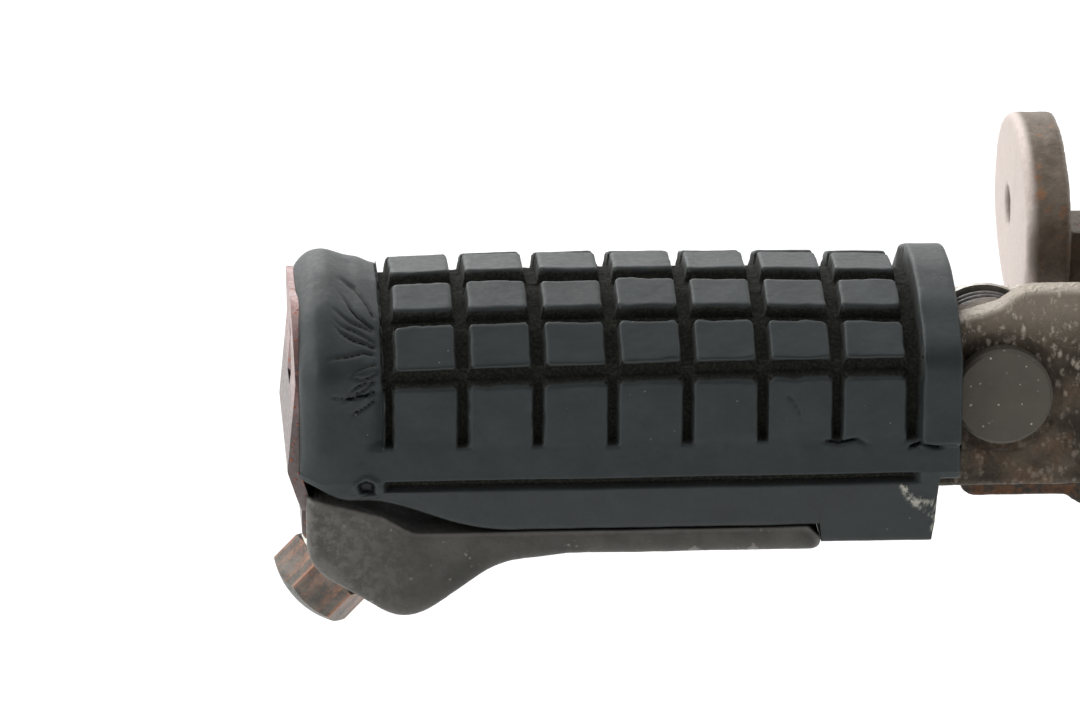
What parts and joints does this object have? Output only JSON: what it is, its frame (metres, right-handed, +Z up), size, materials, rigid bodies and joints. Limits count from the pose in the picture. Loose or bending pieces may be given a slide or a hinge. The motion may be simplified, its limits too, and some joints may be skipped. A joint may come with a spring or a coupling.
{
  "type": "foot peg",
  "caption": "Folding motorcycle foot peg: block-pattern rubber pad on a cast core, end plate, skid rail with angled feeler bolt, sprung clevis hinge on a fixed bracket.",
  "frame": {"origin": "centre of the two threaded bolt holes on the bracket's mounting face", "axes": "+Z up, +X inboard (out of the mounting face, towards the motorcycle), the peg points along -X, the hinge pin lies along Y"},
  "size_m": [0.1444, 0.0893, 0.0733],
  "materials": {
    "pad_rubber": "matt, aged, with worn block edges",
    "plate_steel": "thin plated steel with rust freckles",
    "rail_casting": "smooth cast, dulled grey",
    "fork_casting": "rough cast, brown-grey, pitted",
    "bracket_casting": "rough cast, brown and pale patches",
    "pin_steel": "dark flat head, fine scratches",
    "feeler_steel": "worn zinc with rusty edges",
    "plated_steel": "dull zinc plate",
    "spring_steel": "dark drawn wire",
    "bronze": "sintered bronze"
  },
  "bodies": {
    "bracket": {"hinge_bracket": "bracket_casting", "hinge_tongue": "bracket_casting", "lug_arm": "bracket_casting", "tongue_bush": "bronze", "near_thrust_washer": "plated_steel", "far_thrust_washer": "plated_steel", "spring_sleeve": "plated_steel", "return_spring": "spring_steel"},
    "peg": {"peg_core": "fork_casting", "clevis_pin": "pin_steel", "pin_washer": "plated_steel", "cotter_pin": "plated_steel", "rubber_pad": "pad_rubber", "end_plate": "plate_steel", "end_plate_screw": "plated_steel", "skid_rail": "rail_casting", "rail_screws": "plated_steel", "rail_screw_washers": "plated_steel", "feeler_bolt": "feeler_steel", "feeler_lock_washer": "plated_steel"}
  },
  "joints": [
    {"name": "peg_fold", "type": "hinge", "parent": "bracket", "child": "peg", "pos_m": [-0.034, 0, 0], "axis": [0, 1, 0], "range_deg": [0, 85], "stiffness_Nm_per_rad": 0.5, "springref_deg": -34.38, "deforming": ["return_spring"]}
  ]
}
